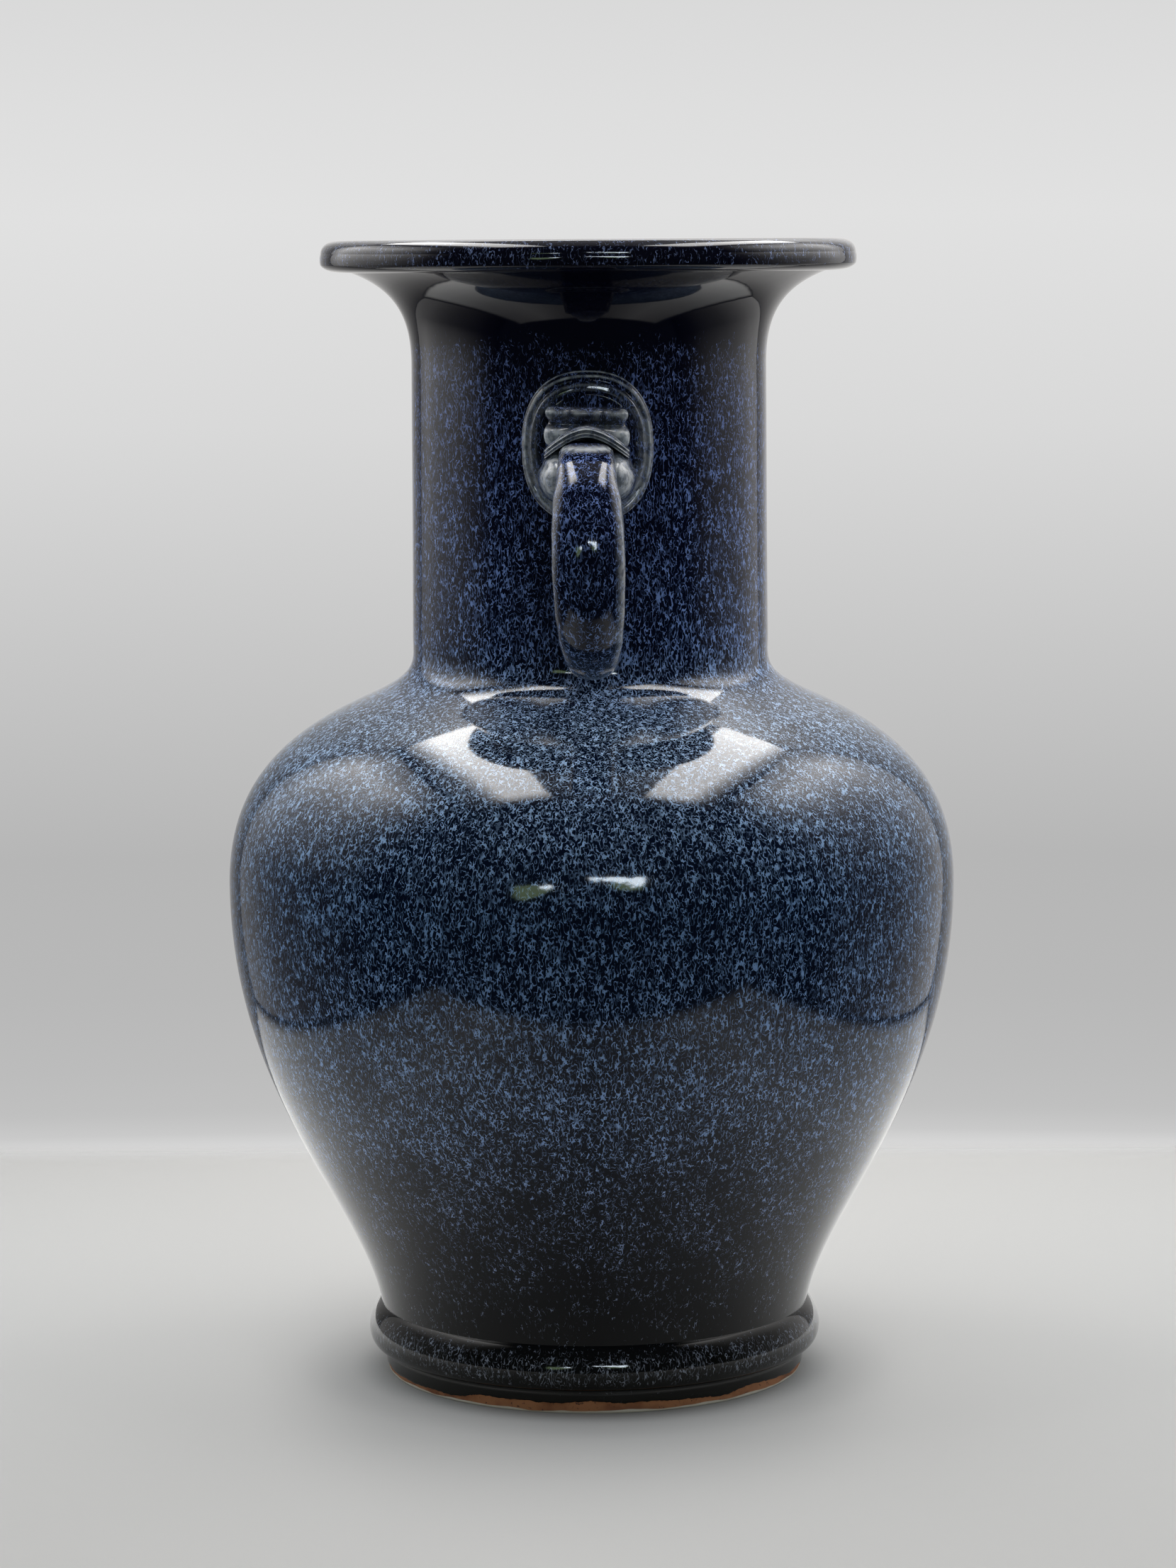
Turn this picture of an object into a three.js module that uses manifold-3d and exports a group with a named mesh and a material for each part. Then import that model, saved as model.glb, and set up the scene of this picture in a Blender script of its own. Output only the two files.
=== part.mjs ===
// A baluster vase in glazed stoneware, with two mask-and-ring handles on its neck.
// Millimetres, +Z up. The origin is the centre of the circle on which the foot stands.
// The vase is thrown in courses, each turned about Z, and the courses meet on level luting planes.
// The handle masks are pressed in moulds and luted to the neck on the -Y and +Y sides.
import * as THREE from "three";
import { mergeVertices } from "three/addons/utils/BufferGeometryUtils.js";
import Module from "manifold-3d";

const wasm = await Module();
wasm.setup();

// Heights of the luting planes and of the whole vase.
const FOOT_TOP = 8.5;
const MOULDING_TOP = 24.4;
const BELLY_HEIGHT = 175;
const SHOULDER_TOP = 262;
const NECK_TOP = 357;
const MOUTH_TOP = 388.8;
const VASE_HEIGHT = 400;

// Outer radii at those planes.
const FOOT_RADIUS = 74.4;
const MOULDING_RADIUS = 80.4;
const WAIST_RADIUS = 76;
const BELLY_RADIUS = 128;
const NECK_ROOT_RADIUS = 62.5;
const NECK_TOP_RADIUS = 62;
const MOUTH_CREASE_RADIUS = 83;
const LIP_RADIUS = 93.2;

// Clay thickness.
const WALL = 7.5;
const FLOOR_THICKNESS = 8.5;
const FOOT_RIM_WIDTH = 13;
const LUTING_GAP = 0.3;

// Fineness of the turned courses.
const TURNS = 48;
const BODY_STEPS = 8;
const SMALL_STEPS = 5;

// Handles. Radial distances are counted from the vase's axis.
const PAD_HALF_WIDTH = 21.8;
const PAD_HALF_HEIGHT = 24.6;
const PAD_CENTRE_HEIGHT = 330.5;
const PAD_THICKNESS = 4.2;
const NECK_SEAT_RADIUS = 62.7;
const MASK_SEAT_RADIUS = NECK_SEAT_RADIUS + PAD_THICKNESS + LUTING_GAP;
const BROW_REACH = 85;
const MUZZLE_REACH = 99;
const RING_BACK_RADIUS = 63.1;
const RING_HALF_REACH = 32.4;
const RING_HALF_HEIGHT = 39.3;
const RING_CENTRE_HEIGHT = 294.3;
const RING_BAR = 14;
const RING_HALF_WIDTH = 12;
const RING_TOP_HALF_WIDTH = 9.3;
const RING_EDGE = 5;

const GLAZE = { color: 0x1a2742, roughness: 0.12, metalness: 0 };
const DARK_GLAZE = { color: 0x12161c, roughness: 0.12, metalness: 0 };
const BARE_CLAY = { color: 0xa5673f, roughness: 0.85, metalness: 0 };

const vase = new THREE.Group();

function addPiece(parent, name, geometry, finish) {
  const piece = new THREE.Mesh(geometry, new THREE.MeshStandardMaterial(finish));
  piece.name = name;
  parent.add(piece);
}

// ---- Turned courses -------------------------------------------------------------------------

// Points of one curve of the profile, from its four control points, each a radius and a height.
function curve(start, handleA, handleB, end, steps = SMALL_STEPS) {
  const [a, b, c, d] = corners(start, handleA, handleB, end);
  return new THREE.CubicBezierCurve(a, b, c, d).getPoints(steps);
}

function corners(...places) {
  return places.map(([radius, height]) => new THREE.Vector2(radius, height));
}

// The inner face of a course, WALL inside its outer face, from the top back down.
// It ends on the same two luting planes as the outer face does.
function innerFace(outer) {
  const last = outer.length - 1;
  const inner = outer.map((point, i) => {
    const along = outer[Math.min(i + 1, last)].clone().sub(outer[Math.max(i - 1, 0)]).normalize();
    return new THREE.Vector2(point.x - WALL * along.y, point.y + WALL * along.x);
  });
  inner[0].y = outer[0].y;
  inner[last].y = outer[last].y;
  return inner.reverse();
}

// Turns a profile that runs up the outside and down the inside into a closed ring of clay.
function turned(profile) {
  const closed = [...profile, profile[0].clone()];
  const geometry = new THREE.LatheGeometry(closed, TURNS);
  return geometry.rotateX(Math.PI / 2);
}

function footRing() {
  const innerRadius = FOOT_RADIUS - FOOT_RIM_WIDTH;
  const edgeBevel = 1.2;
  return turned(
    corners(
      [FOOT_RADIUS - 1.6, 0],
      [FOOT_RADIUS - 0.6, edgeBevel],
      [FOOT_RADIUS, FOOT_TOP],
      [innerRadius, FOOT_TOP],
      [innerRadius - 1, edgeBevel],
      [innerRadius, 0],
    ),
  );
}

function footMoulding() {
  const innerRadius = WAIST_RADIUS - WALL;
  const widest = [MOULDING_RADIUS, 15];
  const under = curve([FOOT_RADIUS + 0.6, FOOT_TOP], [MOULDING_RADIUS - 2, FOOT_TOP], [MOULDING_RADIUS, 11], widest);
  const over = curve(widest, [MOULDING_RADIUS, 18.3], [MOULDING_RADIUS - 2, 22.4], [WAIST_RADIUS, MOULDING_TOP]);
  return turned([
    ...under,
    ...over.slice(1),
    ...corners([innerRadius, MOULDING_TOP], [innerRadius, FOOT_TOP]),
  ]);
}

function baseFloor() {
  const radius = WAIST_RADIUS - WALL - LUTING_GAP;
  const top = FOOT_TOP + FLOOR_THICKNESS;
  const geometry = new THREE.LatheGeometry(corners([0, FOOT_TOP], [radius, FOOT_TOP], [radius, top], [0, top]), TURNS);
  return geometry.rotateX(Math.PI / 2);
}

function lowerBody() {
  const outer = curve(
    [WAIST_RADIUS, MOULDING_TOP],
    [82.7, 61.1],
    [BELLY_RADIUS, 99.3],
    [BELLY_RADIUS, BELLY_HEIGHT],
    BODY_STEPS,
  );
  return turned([...outer, ...innerFace(outer)]);
}

function upperBody() {
  const neckTurn = [79.8, 240.1];
  const outer = [
    ...curve([BELLY_RADIUS, BELLY_HEIGHT], [BELLY_RADIUS, 210], [108.5, 227.3], neckTurn, BODY_STEPS),
    ...curve(neckTurn, [60.3, 248.8], [NECK_ROOT_RADIUS, 252.3], [NECK_ROOT_RADIUS, SHOULDER_TOP]).slice(1),
  ];
  return turned([...outer, ...innerFace(outer)]);
}

function neck() {
  const waist = 62.1;
  const outer = curve([NECK_ROOT_RADIUS, SHOULDER_TOP], [waist, 300], [waist, 325], [NECK_TOP_RADIUS, NECK_TOP]);
  const inside = corners([NECK_TOP_RADIUS - WALL, NECK_TOP], [NECK_ROOT_RADIUS - WALL, SHOULDER_TOP]);
  return turned([...outer, ...inside]);
}

// The neck opens into a trumpet; its inner face runs on into the lip's.
const MOUTH_INNER_TOP = [72.5, MOUTH_TOP];

function mouthFlare() {
  const inside = curve([NECK_TOP_RADIUS - WALL, NECK_TOP], [54.5, 372], [60, 381], MOUTH_INNER_TOP);
  return turned([
    ...curve([NECK_TOP_RADIUS, NECK_TOP], [62, 373.5], [67.5, 383], [MOUTH_CREASE_RADIUS, MOUTH_TOP]),
    ...inside.reverse(),
  ]);
}

function rolledLip() {
  const underside = [LIP_RADIUS - 5, MOUTH_TOP];
  const widest = [LIP_RADIUS, VASE_HEIGHT - 5.7];
  const crown = [LIP_RADIUS - 6.6, VASE_HEIGHT];
  return turned([
    ...corners([MOUTH_CREASE_RADIUS, MOUTH_TOP]),
    ...curve(underside, [LIP_RADIUS - 1.6, MOUTH_TOP + 0.4], [LIP_RADIUS, widest[1] - 3], widest),
    ...curve(widest, [LIP_RADIUS, widest[1] + 3.2], [crown[0] + 3.6, VASE_HEIGHT], crown).slice(1),
    ...curve(crown, [80, VASE_HEIGHT], [77.5, 391.9], MOUTH_INNER_TOP).slice(1),
  ]);
}

// ---- Handles ----------------------------------------------------------------------------------

function solidOf(geometry) {
  const bare = geometry.clone();
  bare.deleteAttribute("normal");
  bare.deleteAttribute("uv");
  const merged = mergeVertices(bare, 1e-4);
  return new wasm.Manifold(
    new wasm.Mesh({
      numProp: 3,
      vertProperties: merged.attributes.position.array,
      triVerts: new Uint32Array(merged.index.array),
    }),
  );
}

function geometryOf(solid) {
  const mesh = solid.getMesh();
  const geometry = new THREE.BufferGeometry();
  geometry.setAttribute("position", new THREE.BufferAttribute(mesh.vertProperties, 3));
  geometry.setIndex(new THREE.BufferAttribute(mesh.triVerts, 1));
  const flat = geometry.toNonIndexed();
  flat.computeVertexNormals();
  return flat;
}

// An upright cylinder about the vase's axis, which cuts the curved seat of a mask piece.
function seatCylinder(radius) {
  const sides = 96;
  const cylinder = new THREE.CylinderGeometry(radius, radius, VASE_HEIGHT, sides);
  cylinder.rotateX(Math.PI / 2).translate(0, 0, VASE_HEIGHT / 2);
  return solidOf(cylinder);
}

// Pushes an outline, drawn across the neck and up, outwards along -Y from one radius to another.
function pressedOut(shape, from, to, edge) {
  const geometry = new THREE.ExtrudeGeometry(shape, {
    depth: to - from - edge,
    bevelEnabled: true,
    bevelThickness: edge,
    bevelSize: edge,
    bevelOffset: -edge,
    bevelSegments: 2,
    curveSegments: 5,
  });
  return geometry.rotateX(Math.PI / 2).translate(0, -from, 0);
}

function handlePad() {
  const outline = new THREE.Shape();
  outline.absellipse(0, PAD_CENTRE_HEIGHT, PAD_HALF_WIDTH, PAD_HALF_HEIGHT, 0, Math.PI * 2);
  const plug = new THREE.ExtrudeGeometry(outline, { depth: 30, bevelEnabled: false, curveSegments: 10 });
  plug.rotateX(Math.PI / 2).translate(0, -(NECK_SEAT_RADIUS - 15), 0);
  const shell = seatCylinder(NECK_SEAT_RADIUS + PAD_THICKNESS).subtract(seatCylinder(NECK_SEAT_RADIUS));
  return geometryOf(solidOf(plug).intersect(shell).subtract(solidOf(ring(LUTING_GAP))));
}

// The forehead: a square block with pinched sides, over two bulging eyes.
function browBlock() {
  const outline = new THREE.Shape();
  outline.moveTo(-14.6, 334);
  outline.quadraticCurveTo(-12.2, 339.5, -14, 344.2);
  outline.quadraticCurveTo(-7, 343.4, 0, 344.4);
  outline.quadraticCurveTo(7, 343.4, 14, 344.2);
  outline.quadraticCurveTo(12.2, 339.5, 14.6, 334);
  outline.lineTo(10, 336.6);
  outline.quadraticCurveTo(0, 343.4, -10, 336.6);
  const block = solidOf(pressedOut(outline, MASK_SEAT_RADIUS - 8, BROW_REACH, 1));
  return geometryOf(block.subtract(seatCylinder(MASK_SEAT_RADIUS)));
}

// The upper lip: an arch that closes over the top of the ring.
function muzzleArch() {
  const outline = new THREE.Shape();
  outline.moveTo(-14.4, 329);
  outline.quadraticCurveTo(-12, 334, -9.6, 336.2);
  outline.quadraticCurveTo(0, 342.8, 9.6, 336.2);
  outline.quadraticCurveTo(12, 334, 14.4, 329);
  outline.lineTo(11, 329);
  outline.quadraticCurveTo(10.4, 332.6, 8, 334);
  outline.quadraticCurveTo(0, 338.2, -8, 334);
  outline.quadraticCurveTo(-10.4, 332.6, -11, 329);
  return pressedOut(outline, MASK_SEAT_RADIUS - 8, MUZZLE_REACH, 0.8);
}

function muzzle() {
  return geometryOf(solidOf(muzzleArch()).subtract(seatCylinder(MASK_SEAT_RADIUS)));
}

// Half the width of the ring's bar at one height: it is narrower where the mouth holds it.
function ringHalfWidth(height) {
  const fullWidthHeight = RING_CENTRE_HEIGHT + 14;
  const top = RING_CENTRE_HEIGHT + RING_HALF_HEIGHT;
  const share = THREE.MathUtils.smoothstep(height, fullWidthHeight, top);
  return THREE.MathUtils.lerp(RING_HALF_WIDTH, RING_TOP_HALF_WIDTH, share);
}

// The ring stands on edge: its plane holds the vase's axis, and its back lies against the neck.
function ring(clearance = 0) {
  const centre = RING_BACK_RADIUS + RING_HALF_REACH;
  const outline = new THREE.Shape();
  const reach = RING_HALF_REACH + clearance;
  const rise = RING_HALF_HEIGHT + clearance;
  outline.absellipse(centre, RING_CENTRE_HEIGHT, reach, rise, 0, Math.PI * 2);
  const hole = new THREE.Path();
  const bar = RING_BAR + 2 * clearance;
  hole.absellipse(centre, RING_CENTRE_HEIGHT, reach - bar, rise - bar, 0, Math.PI * 2, true);
  outline.holes.push(hole);
  const geometry = new THREE.ExtrudeGeometry(outline, {
    depth: 2 * (RING_HALF_WIDTH - RING_EDGE),
    bevelEnabled: true,
    bevelThickness: RING_EDGE,
    bevelSize: RING_EDGE,
    bevelOffset: -RING_EDGE,
    bevelSegments: 3,
    curveSegments: 12,
  });
  geometry.translate(0, 0, -(RING_HALF_WIDTH - RING_EDGE));
  const outward = new THREE.Vector3(0, -1, 0);
  const up = new THREE.Vector3(0, 0, 1);
  geometry.applyMatrix4(new THREE.Matrix4().makeBasis(outward, up, outward.clone().cross(up)));
  const places = geometry.attributes.position;
  for (let i = 0; i < places.count; i++) {
    const width = (ringHalfWidth(places.getZ(i)) + clearance) / RING_HALF_WIDTH;
    places.setX(i, places.getX(i) * width);
  }
  return geometry;
}

// One lobe of the jaw, beside the ring; side is -1 or 1.
function cheek(side) {
  const lobe = new THREE.SphereGeometry(1, 16, 10);
  lobe.scale(8.2, 17, 8.6).translate(side * 9.6, -84, 321.8);
  const cut = solidOf(lobe)
    .subtract(solidOf(ring(2 * LUTING_GAP)))
    .subtract(seatCylinder(MASK_SEAT_RADIUS))
    .subtract(solidOf(besideRing(side)))
    .subtract(solidOf(muzzleArch().translate(0, 0, -LUTING_GAP)));
  return geometryOf(cut);
}

// The room that the ring and the upper lip take, which a lobe leaves clear.
function besideRing(side) {
  const innerFace = RING_TOP_HALF_WIDTH + 2;
  const block = new THREE.BoxGeometry(40, 80, 80);
  return block.translate(side * (innerFace - 20), -90, 321);
}

function addHandle(prefix, turn) {
  const handle = new THREE.Group();
  handle.rotation.z = turn;
  addPiece(handle, prefix + "_handle_pad", handlePad(), GLAZE);
  addPiece(handle, prefix + "_mask_brow", browBlock(), GLAZE);
  addPiece(handle, prefix + "_mask_muzzle", muzzle(), GLAZE);
  addPiece(handle, prefix + "_mask_left_cheek", cheek(-1), GLAZE);
  addPiece(handle, prefix + "_mask_right_cheek", cheek(1), GLAZE);
  addPiece(handle, prefix + "_ring", geometryOf(solidOf(ring())), GLAZE);
  vase.add(handle);
}

addPiece(vase, "foot_ring", footRing(), BARE_CLAY);
addPiece(vase, "foot_moulding", footMoulding(), DARK_GLAZE);
addPiece(vase, "base_floor", baseFloor(), BARE_CLAY);
addPiece(vase, "lower_body", lowerBody(), GLAZE);
addPiece(vase, "upper_body", upperBody(), GLAZE);
addPiece(vase, "neck", neck(), GLAZE);
addPiece(vase, "mouth_flare", mouthFlare(), GLAZE);
addPiece(vase, "rolled_lip", rolledLip(), GLAZE);
addHandle("front", 0);
addHandle("back", Math.PI);

export default vase;
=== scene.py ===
import math
import bpy
import numpy as np
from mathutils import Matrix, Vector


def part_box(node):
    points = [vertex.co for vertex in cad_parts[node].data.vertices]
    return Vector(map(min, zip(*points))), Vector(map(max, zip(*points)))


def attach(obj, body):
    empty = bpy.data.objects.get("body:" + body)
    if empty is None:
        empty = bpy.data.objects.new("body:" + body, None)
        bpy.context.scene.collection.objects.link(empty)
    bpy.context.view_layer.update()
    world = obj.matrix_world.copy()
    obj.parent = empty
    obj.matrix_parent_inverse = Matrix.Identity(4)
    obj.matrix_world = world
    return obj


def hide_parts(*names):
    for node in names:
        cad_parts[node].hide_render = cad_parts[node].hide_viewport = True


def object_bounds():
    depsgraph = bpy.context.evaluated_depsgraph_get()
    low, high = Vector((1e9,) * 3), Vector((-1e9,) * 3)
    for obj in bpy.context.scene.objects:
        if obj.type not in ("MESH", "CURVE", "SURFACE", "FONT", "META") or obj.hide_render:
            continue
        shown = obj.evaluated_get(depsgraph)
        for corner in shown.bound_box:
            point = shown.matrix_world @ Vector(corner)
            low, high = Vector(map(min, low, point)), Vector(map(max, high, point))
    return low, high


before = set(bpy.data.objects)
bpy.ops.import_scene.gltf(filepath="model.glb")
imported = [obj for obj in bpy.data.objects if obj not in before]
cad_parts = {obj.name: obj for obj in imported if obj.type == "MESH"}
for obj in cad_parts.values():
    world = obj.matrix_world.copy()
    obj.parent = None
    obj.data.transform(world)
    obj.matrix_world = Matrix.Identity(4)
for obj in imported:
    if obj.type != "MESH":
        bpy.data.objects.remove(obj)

cad_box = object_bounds()


# ---- Foot ring -------------------------------------------------------------------------------
# The turned foot of brown stoneware that the vase stands on. The glaze was wiped back before
# firing, so it ends in a ragged edge over orange clay, with a pale rim where it met the kiln shelf.
MM = 0.001
BODY = "root"
WHOLE_TURN = 2 * math.pi


def ease(value, low, high):
    """0 at low and 1 at high, easing between them and held outside them."""
    t = min(max((value - low) / (high - low), 0), 1)
    return t * t * (3 - 2 * t)


def stretch(start, pull_a, pull_b, end, steps=40):
    """Points of one Bezier stretch of a section, set closer together towards both of its ends."""
    points = []
    for step in range(steps + 1):
        t = ease(step / steps, 0, 1)
        s = 1 - t
        weights = (s ** 3, 3 * s * s * t, 3 * s * t * t, t ** 3)
        corners = (start, pull_a, pull_b, end)
        points.append(tuple(sum(w * c[axis] for w, c in zip(weights, corners)) for axis in (0, 1)))
    return points


def straight(start, end, steps=6):
    """Points of one straight stretch of a section."""
    third = [tuple(a + (b - a) * part / 3 for a, b in zip(start, end)) for part in (1, 2)]
    return stretch(start, third[0], third[1], end, steps)


def outline(*stretches):
    """Joins stretches end to end into one closed section, dropping the points that repeat."""
    joined = []
    for points in stretches:
        joined += points if not joined or joined[-1] != points[0] else points[1:]
    return joined if joined[0] != joined[-1] else joined[:-1]


SECTORS = 12


def turned(name, section, sides=288):
    """One thrown course: its closed section, drawn beside the axis in mm, is spun through one
    sector of the turn, and that sector is then repeated round the axis."""
    bpy.ops.object.select_all(action="DESELECT")
    bpy.ops.mesh.primitive_circle_add(vertices=len(section), radius=1)
    piece = bpy.context.object
    piece.name = name
    for vertex, (radius, height) in zip(piece.data.vertices, section):
        vertex.co = (radius * MM, 0, height * MM)
    bpy.ops.object.mode_set(mode="EDIT")
    bpy.ops.mesh.select_all(action="SELECT")
    sector = WHOLE_TURN / SECTORS
    bpy.ops.mesh.spin(steps=sides // SECTORS, angle=sector, center=(0, 0, 0), axis=(0, 0, 1),
                      use_auto_merge=False)
    bpy.ops.mesh.select_all(action="SELECT")
    bpy.ops.mesh.spin(steps=SECTORS - 1, angle=WHOLE_TURN - sector, center=(0, 0, 0), axis=(0, 0, 1),
                      dupli=True)
    bpy.ops.mesh.select_all(action="SELECT")
    bpy.ops.mesh.remove_doubles(threshold=1e-6)
    bpy.ops.mesh.normals_make_consistent(inside=False)
    bpy.ops.object.mode_set(mode="OBJECT")
    bpy.ops.object.shade_smooth_by_angle(angle=math.radians(40))
    return piece


def node(tree, kind, inputs=None, **settings):
    """Adds a shader node; an input is either a value or the socket that feeds it."""
    made = tree.nodes.new(kind)
    for name, value in settings.items():
        setattr(made, name, value)
    for name, value in (inputs or {}).items():
        if isinstance(value, bpy.types.NodeSocket):
            tree.links.new(value, made.inputs[name])
        else:
            made.inputs[name].default_value = value
    return made


def math_node(tree, operation, a, b=0.0, c=0.0, clamp=False):
    """The result of one sum on two or three values."""
    return node(tree, "ShaderNodeMath", {0: a, 1: b, 2: c}, operation=operation, use_clamp=clamp).outputs[0]


def vector_node(tree, operation, a, b=(0, 0, 0), c=(0, 0, 0)):
    """The result of one sum on two or three vectors or colours."""
    return node(tree, "ShaderNodeVectorMath", {0: a, 1: b, 2: c}, operation=operation).outputs[0]


def on_piece(tree):
    """Each point's place on the piece, in metres."""
    return node(tree, "ShaderNodeTexCoord").outputs["Object"]


def parts_of(tree, vector):
    """The X, Y and Z of a vector."""
    return node(tree, "ShaderNodeSeparateXYZ", {"Vector": vector}).outputs


def noise(tree, place, scale, detail):
    """A cloudy pattern from 0 to 1, about this many clouds to the metre."""
    made = node(tree, "ShaderNodeTexNoise", {"Vector": place, "Scale": scale, "Detail": detail})
    return made.outputs["Fac"]


def ramp(tree, value, stops):
    """A colour ramp through (position, colour) stops; a plain number stands for a grey."""
    made = node(tree, "ShaderNodeValToRGB", {"Fac": value})
    elements = made.color_ramp.elements
    while len(elements) < len(stops):
        elements.new(0.5)
    for element, (position, colour) in zip(elements, stops):
        element.position = position
        element.color = (*colour, 1) if isinstance(colour, tuple) else (colour, colour, colour, 1)
    return made.outputs["Color"]


def blend_colour(tree, factor, low, high):
    """Mixes two colours by a factor."""
    mixed = node(tree, "ShaderNodeMix", data_type="RGBA")
    for socket, value in (("Factor", factor), ("A", low), ("B", high)):
        target = [s for s in mixed.inputs if s.name == socket and s.enabled][0]
        if isinstance(value, bpy.types.NodeSocket):
            tree.links.new(value, target)
        else:
            target.default_value = value if socket == "Factor" else (*value, 1)
    return [s for s in mixed.outputs if s.enabled][0]


def between(tree, value, low, high, smooth=True):
    """0 at low and 1 at high, held outside them."""
    made = node(tree, "ShaderNodeMapRange", {"Value": value, "From Min": low, "From Max": high})
    made.interpolation_type = "SMOOTHSTEP" if smooth else "LINEAR"
    return made.outputs["Result"]


def principled(tree, colour, bump, roughness):
    """A solid surface of this colour, bump and roughness."""
    shader = node(tree, "ShaderNodeBsdfPrincipled", {"Base Color": colour, "Normal": bump.outputs["Normal"]})
    shader.inputs["Roughness"].default_value = roughness
    return shader


VASE_HEIGHT = cad_box[1].z


def level(millimetres):
    """A height on the vase as the fraction that the glaze's ramps read."""
    return millimetres * MM / VASE_HEIGHT


# How wide the pale threads of crystals are at each height, from foot to lip, as a share of the noise.
THREAD_WIDTH = (
    (level(0), 0.02), (level(9), 0.03), (level(13), 0.095), (level(20), 0.10), (level(24), 0.04),
    (level(34), 0.055), (level(70), 0.082), (level(105), 0.104), (level(135), 0.112),
    (level(190), 0.115), (level(232), 0.130), (level(250), 0.125), (level(275), 0.110),
    (level(350), 0.105), (level(362), 0.085), (level(373), 0.0), (level(389), 0.0),
    (level(392), 0.080), (level(400), 0.070),
)
# The colour of the crystals, and of the glass between them.
CRYSTAL_COLOUR = (
    (level(0), (0.10, 0.10, 0.10)), (level(18), (0.21, 0.23, 0.28)), (level(60), (0.21, 0.27, 0.45)),
    (level(110), (0.26, 0.39, 0.66)), (level(180), (0.16, 0.27, 0.46)), (level(235), (0.34, 0.48, 0.68)),
    (level(262), (0.17, 0.26, 0.50)), (level(330), (0.13, 0.19, 0.42)), (level(386), (0.10, 0.13, 0.25)),
    (level(400), (0.13, 0.17, 0.29)),
)
GLASS_COLOUR = (
    (level(0), (0.010, 0.009, 0.006)), (level(8), (0.004, 0.004, 0.003)),
    (level(25), (0.005, 0.005, 0.005)), (level(70), (0.004, 0.005, 0.008)),
    (level(115), (0.002, 0.005, 0.014)), (level(200), (0.001, 0.004, 0.015)),
    (level(300), (0.001, 0.002, 0.010)), (level(400), (0.002, 0.002, 0.006)),
)
# Where the glaze is thin it turns to a mottled grey, with a paler thread here and there.
THIN_DARK = (0.15, 0.165, 0.185)
THIN_PALE = (0.42, 0.435, 0.44)
THIN_THREAD = (0.40, 0.44, 0.52)
RUN_DOWN = (1, 1, 0.50)
WANDER = 0.0006


def glaze_shader(tree):
    """Thick black-blue glass with pale blue crystals that ran down it in fine broken threads."""
    place = on_piece(tree)
    height = math_node(tree, "DIVIDE", parts_of(tree, place)["Z"], VASE_HEIGHT, clamp=True)
    run = node(tree, "ShaderNodeMapping", {"Vector": place, "Scale": RUN_DOWN}).outputs["Vector"]
    wander = node(tree, "ShaderNodeTexNoise", {"Vector": run, "Scale": 1600, "Detail": 1.0})
    drift = vector_node(tree, "SUBTRACT", wander.outputs["Color"], (0.5, 0.5, 0.5))
    flow = vector_node(tree, "MULTIPLY_ADD", drift, (WANDER, WANDER, WANDER), run)
    threads = noise(tree, flow, 1060, 0.6)
    off_line = math_node(tree, "ABSOLUTE", math_node(tree, "SUBTRACT", threads, 0.5))
    breaks = noise(tree, run, 720, 1.5)
    patches = noise(tree, place, 55, 4.0)
    wide = math_node(tree, "MULTIPLY_ADD", breaks, 0.22, -0.226)
    wide = math_node(tree, "MULTIPLY_ADD", patches, 0.10, wide)
    wide = math_node(tree, "ADD", ramp(tree, height, THREAD_WIDTH), wide)
    cover = between(tree, math_node(tree, "SUBTRACT", wide, off_line), -0.014, 0.016)
    shimmer = between(tree, noise(tree, run, 600, 1.5), 0.36, 0.64)
    cover = math_node(tree, "MULTIPLY", cover, math_node(tree, "MULTIPLY_ADD", shimmer, 0.78, 0.22))
    glass = ramp(tree, height, GLASS_COLOUR)
    crystal = ramp(tree, height, CRYSTAL_COLOUR)
    thick = blend_colour(tree, cover, glass, crystal)
    mottle = between(tree, noise(tree, place, 420, 3.0), 0.36, 0.60)
    thin = blend_colour(tree, mottle, THIN_DARK, THIN_PALE)
    thin = blend_colour(tree, math_node(tree, "MULTIPLY", cover, 0.4), thin, THIN_THREAD)
    ridge = node(tree, "ShaderNodeAttribute", attribute_name="ridge").outputs["Fac"]
    colour = blend_colour(tree, ridge, thick, thin)
    skin = math_node(tree, "MULTIPLY_ADD", cover, 0.10, noise(tree, place, 160, 1.0))
    bump = node(tree, "ShaderNodeBump", {"Height": skin, "Strength": 0.35, "Distance": 0.00006})
    shader = principled(tree, colour, bump, 0.06)
    shader.inputs["IOR"].default_value = 1.40
    return shader


CLAY_BROWN = (0.21, 0.072, 0.026)
CLAY_ORANGE = (0.36, 0.145, 0.058)
IRON_SPECK = (0.07, 0.03, 0.018)
KILN_SAND = (0.62, 0.55, 0.44)


def clay_shader(tree, pale_rim):
    """Brown fired clay with iron specks; the pale rim is where it stood on the kiln's sand."""
    place = on_piece(tree)
    grit = noise(tree, place, 900, 3.0)
    cloud = noise(tree, place, 90, 3.0)
    clay = blend_colour(tree, between(tree, cloud, 0.36, 0.62), CLAY_BROWN, CLAY_ORANGE)
    clay = blend_colour(tree, between(tree, grit, 0.62, 0.72), clay, IRON_SPECK)
    colour = blend_colour(tree, pale_rim, clay, KILN_SAND)
    bump = node(tree, "ShaderNodeBump", {"Height": grit, "Strength": 0.5, "Distance": 0.00012})
    return principled(tree, colour, bump, 0.78)


def finish_material(name, build):
    """A new material whose surface is the shader that build makes in it."""
    material = bpy.data.materials.new(name)
    material.use_nodes = True
    tree = material.node_tree
    tree.nodes.clear()
    output = node(tree, "ShaderNodeOutputMaterial")
    tree.links.new(build(tree).outputs[0], output.inputs["Surface"])
    return material


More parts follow.
